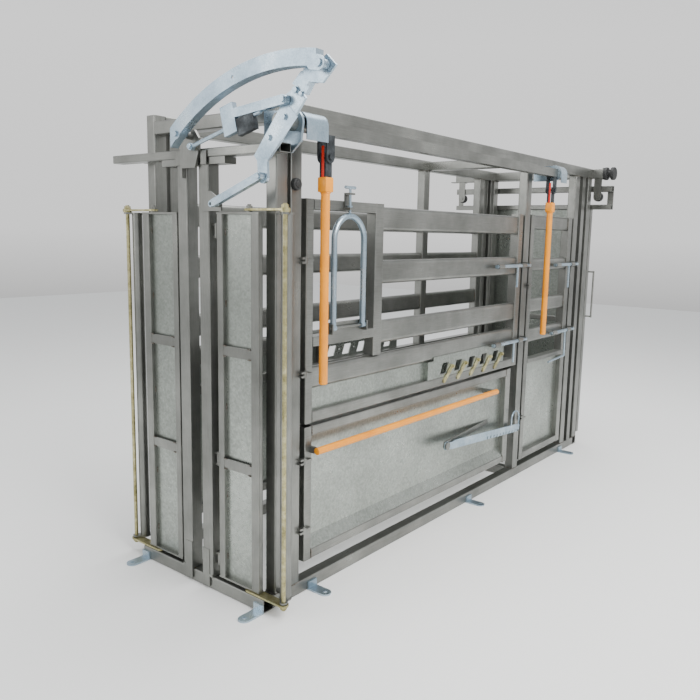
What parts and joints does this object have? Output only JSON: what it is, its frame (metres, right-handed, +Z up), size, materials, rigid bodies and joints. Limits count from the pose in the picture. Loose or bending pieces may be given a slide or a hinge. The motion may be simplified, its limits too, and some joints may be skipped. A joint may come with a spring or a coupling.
{
  "type": "cattle squeeze chute",
  "caption": "Welded tube cattle crush with a folding lever-worked head gate, hinged side gate and lower door, slotted side rails, rear side gate and rear sliding gate.",
  "frame": {"origin": "on the ground, in the middle of the whole footprint", "axes": "+Z up; the head gate end faces -Y; the lever, gates and operator are on the +X side"},
  "size_m": [1.666, 3.6234, 2.257],
  "materials": {
    "galvanised_tube": "satin, hot-dip galvanised pre-coated tube",
    "galvanised_sheet": "satin, zinc spangle",
    "bright_zinc_plate": "semi-gloss, blue-white zinc plate",
    "yellow_zinc_steel": "semi-gloss, yellow passivated zinc",
    "orange_powder_coat": "gloss powder coat",
    "black_rubber": "matt rubber",
    "dark_lock_steel": "matt dark coated steel"
  },
  "bodies": {
    "frame": {"base_frame": "galvanised_tube", "anchor_lugs": "bright_zinc_plate", "front_posts": "galvanised_tube", "side_posts": "galvanised_tube", "top_frame": "galvanised_tube", "far_side_frame": "galvanised_tube", "far_side_sheets": "galvanised_sheet", "far_slotted_plate": "galvanised_sheet", "slide_beam": "galvanised_tube", "hinge_pipes": "galvanised_tube", "tube_bearings": "bright_zinc_plate", "tube_covers": "bright_zinc_plate", "gate_fittings": "galvanised_tube", "gate_track": "galvanised_tube", "rubber_bumpers": "black_rubber"},
    "lever": {"lever_plate": "bright_zinc_plate", "torque_tube": "bright_zinc_plate", "handle_clevises": "bright_zinc_plate"},
    "handle_front": {"front_handle": "orange_powder_coat"},
    "handle_rear": {"rear_handle": "orange_powder_coat"},
    "bow_arm": {"curved_arm": "bright_zinc_plate"},
    "link_lower": {"lower_link": "bright_zinc_plate"},
    "lock": {"lock_arm": "bright_zinc_plate", "lock_block": "dark_lock_steel"},
    "jam_rod": {"friction_rod": "bright_zinc_plate"},
    "fold_link_near": {"near_links": "yellow_zinc_steel"},
    "fold_link_far": {"far_links": "yellow_zinc_steel"},
    "fold_panel_near": {"near_panel_frame": "galvanised_tube", "near_panel_sheet": "galvanised_sheet"},
    "fold_panel_far": {"far_panel_frame": "galvanised_tube", "far_panel_sheet": "galvanised_sheet"},
    "neck_near": {"near_neck_bar": "galvanised_tube"},
    "neck_far": {"far_neck_bar": "galvanised_tube"},
    "side_gate": {"side_gate_frame": "galvanised_tube", "side_gate_rails": "galvanised_tube", "side_gate_sheet": "galvanised_sheet", "side_slotted_plate": "galvanised_sheet", "hoop_bracket": "galvanised_tube"},
    "hoop": {"neck_hoop": "bright_zinc_plate"},
    "hoop_pin": {"hoop_latch": "bright_zinc_plate"},
    "side_slide_upper": {"side_bolt_upper": "bright_zinc_plate"},
    "side_slide_lower": {"side_bolt_lower": "bright_zinc_plate"},
    "lower_door": {"lower_door_frame": "galvanised_tube", "lower_door_sheet": "galvanised_sheet", "grab_bar": "orange_powder_coat"},
    "stay": {"notched_stay": "bright_zinc_plate"},
    "vet_gate": {"vet_gate_frame": "galvanised_tube", "vet_gate_sheet": "galvanised_sheet"},
    "vet_slide_upper": {"vet_bolt_upper": "bright_zinc_plate"},
    "vet_slide_lower": {"vet_bolt_lower": "bright_zinc_plate"},
    "rear_gate": {"sliding_gate_frame": "galvanised_tube", "sliding_gate_sheet": "galvanised_sheet"},
    "roller_far": {"far_roller": "black_rubber"},
    "roller_middle": {"middle_roller": "black_rubber"},
    "roller_near": {"near_roller": "black_rubber"},
    "pawl_1": {"pawl_1": "yellow_zinc_steel"},
    "pawl_2": {"pawl_2": "yellow_zinc_steel"},
    "pawl_3": {"pawl_3": "yellow_zinc_steel"},
    "pawl_4": {"pawl_4": "yellow_zinc_steel"},
    "pawl_5": {"pawl_5": "yellow_zinc_steel"}
  },
  "joints": [
    {"name": "head_lever", "type": "hinge", "parent": "frame", "child": "lever", "pos_m": [0.525, -1.692, 2.035], "axis": [0, -1, 0], "range_deg": [0, 71.3]},
    {"name": "front_handle_swing", "type": "hinge", "parent": "lever", "child": "handle_front", "pos_m": [0.525, -1.437, 1.925], "axis": [1, 0, 0], "range_deg": [0, 80]},
    {"name": "rear_handle_swing", "type": "hinge", "parent": "lever", "child": "handle_rear", "pos_m": [0.525, 0.776, 1.925], "axis": [1, 0, 0], "range_deg": [-80, 80]},
    {"name": "bow_arm_pivot", "type": "hinge", "parent": "lever", "child": "bow_arm", "pos_m": [0.797, -1.772, 2.194], "axis": [0, -1, 0], "range_deg": [-60.4, 0]},
    {"name": "lock_arm_pivot", "type": "hinge", "parent": "lever", "child": "lock", "pos_m": [0.586, -1.739, 2.1], "axis": [0, -1, 0], "range_deg": [-74.26, 0]},
    {"name": "jam_rod_slide", "type": "slide", "parent": "lock", "child": "jam_rod", "axis": [-0.9684, 0, -0.2493], "range_m": [0, 0.17811]},
    {"name": "near_link_turn", "type": "hinge", "parent": "frame", "child": "fold_link_near", "pos_m": [0.522, -1.668, 0.9], "axis": [0, 0, 1], "range_deg": [0, 72.88]},
    {"name": "near_panel_turn", "type": "hinge", "parent": "fold_link_near", "child": "fold_panel_near", "pos_m": [0.32, -1.668, 0.9], "axis": [0, 0, 1], "range_deg": [-145.26, 0]},
    {"name": "near_neck_turn", "type": "hinge", "parent": "fold_panel_near", "child": "neck_near", "pos_m": [0.118, -1.668, 0.9], "axis": [0, 0, 1], "range_deg": [0, 72.88]},
    {"name": "far_link_turn", "type": "hinge", "parent": "frame", "child": "fold_link_far", "pos_m": [-0.522, -1.668, 0.9], "axis": [0, 0, 1], "range_deg": [-72.88, 0]},
    {"name": "far_panel_turn", "type": "hinge", "parent": "fold_link_far", "child": "fold_panel_far", "pos_m": [-0.32, -1.668, 0.9], "axis": [0, 0, 1], "range_deg": [0, 145.26]},
    {"name": "far_neck_turn", "type": "hinge", "parent": "fold_panel_far", "child": "neck_far", "pos_m": [-0.118, -1.668, 0.9], "axis": [0, 0, 1], "range_deg": [-72.88, 0]},
    {"name": "lower_link_pivot", "type": "hinge", "parent": "neck_near", "child": "link_lower", "pos_m": [0.179, -1.74, 1.728], "axis": [0, -1, 0], "range_deg": [0, 17.13]},
    {"name": "side_gate_swing", "type": "hinge", "parent": "frame", "child": "side_gate", "pos_m": [0.437, -1.455, 1.2], "axis": [0, 0, 1], "range_deg": [-60, 0]},
    {"name": "pawl_1_swing", "type": "hinge", "parent": "side_gate", "child": "pawl_1", "pos_m": [0.425, -0.21, 0.885], "axis": [1, 0, 0], "range_deg": [-30, 60]},
    {"name": "pawl_2_swing", "type": "hinge", "parent": "side_gate", "child": "pawl_2", "pos_m": [0.425, -0.0605, 0.885], "axis": [1, 0, 0], "range_deg": [-30, 60]},
    {"name": "pawl_3_swing", "type": "hinge", "parent": "side_gate", "child": "pawl_3", "pos_m": [0.425, 0.089, 0.885], "axis": [1, 0, 0], "range_deg": [-30, 60]},
    {"name": "pawl_4_swing", "type": "hinge", "parent": "side_gate", "child": "pawl_4", "pos_m": [0.425, 0.2385, 0.885], "axis": [1, 0, 0], "range_deg": [-30, 60]},
    {"name": "pawl_5_swing", "type": "hinge", "parent": "side_gate", "child": "pawl_5", "pos_m": [0.425, 0.388, 0.885], "axis": [1, 0, 0], "range_deg": [-30, 60]},
    {"name": "side_bolt_upper_slide", "type": "slide", "parent": "side_gate", "child": "side_slide_upper", "axis": [0, -1, 0], "range_m": [0, 0.06]},
    {"name": "side_bolt_lower_slide", "type": "slide", "parent": "side_gate", "child": "side_slide_lower", "axis": [0, -1, 0], "range_m": [0, 0.06]},
    {"name": "neck_hoop_swing", "type": "hinge", "parent": "side_gate", "child": "hoop", "pos_m": [0.446, -1.1795, 1.2], "axis": [0, 1, 0], "range_deg": [0, 100]},
    {"name": "hoop_latch_lift", "type": "slide", "parent": "side_gate", "child": "hoop_pin", "axis": [0, 0, 1], "range_m": [0, 0.025]},
    {"name": "lower_door_swing", "type": "hinge", "parent": "frame", "child": "lower_door", "pos_m": [0.437, -1.455, 0.46], "axis": [0, 0, 1], "range_deg": [-100, 0]},
    {"name": "stay_lift", "type": "hinge", "parent": "lower_door", "child": "stay", "pos_m": [0.462, -0.296, 0.439], "axis": [1, 0, 0], "range_deg": [0, 20]},
    {"name": "vet_gate_swing", "type": "hinge", "parent": "frame", "child": "vet_gate", "pos_m": [0.437, 0.72, 0.9], "axis": [0, 0, 1], "range_deg": [-40, 0]},
    {"name": "vet_bolt_upper_slide", "type": "slide", "parent": "vet_gate", "child": "vet_slide_upper", "axis": [0, -1, 0], "range_m": [0, 0.06]},
    {"name": "vet_bolt_lower_slide", "type": "slide", "parent": "vet_gate", "child": "vet_slide_lower", "axis": [0, -1, 0], "range_m": [0, 0.06]},
    {"name": "rear_gate_slide", "type": "slide", "parent": "frame", "child": "rear_gate", "axis": [-1, 0, 0], "range_m": [0, 0.66]},
    {"name": "far_roller_spin", "type": "hinge", "parent": "frame", "child": "roller_far", "pos_m": [-0.715, 1.776, 1.935], "axis": [0, 1, 0], "range_deg": [-1081.4, 0]},
    {"name": "middle_roller_spin", "type": "hinge", "parent": "frame", "child": "roller_middle", "pos_m": [-0.137, 1.776, 1.935], "axis": [0, 1, 0], "range_deg": [-1081.4, 0]},
    {"name": "near_roller_spin", "type": "hinge", "parent": "frame", "child": "roller_near", "pos_m": [0.467, 1.776, 1.935], "axis": [0, 1, 0], "range_deg": [-1081.4, 0]}
  ],
  "couplings": [
    {"joint": "bow_arm_pivot", "follows": "head_lever", "ratio": -0.84014},
    {"joint": "lock_arm_pivot", "follows": "head_lever", "ratio": -1.0345},
    {"joint": "jam_rod_slide", "follows": "head_lever", "m_per_rad": 0.14233},
    {"joint": "near_link_turn", "follows": "head_lever", "ratio": 1.0151},
    {"joint": "near_panel_turn", "follows": "head_lever", "ratio": -2.0303},
    {"joint": "near_neck_turn", "follows": "head_lever", "ratio": 1.0151},
    {"joint": "far_link_turn", "follows": "head_lever", "ratio": -1.0151},
    {"joint": "far_panel_turn", "follows": "head_lever", "ratio": 2.0303},
    {"joint": "far_neck_turn", "follows": "head_lever", "ratio": -1.0151},
    {"joint": "lower_link_pivot", "follows": "head_lever", "ratio": 0.23326},
    {"joint": "far_roller_spin", "follows": "rear_gate_slide", "rad_per_m": -28.571},
    {"joint": "middle_roller_spin", "follows": "rear_gate_slide", "rad_per_m": -28.571},
    {"joint": "near_roller_spin", "follows": "rear_gate_slide", "rad_per_m": -28.571}
  ]
}
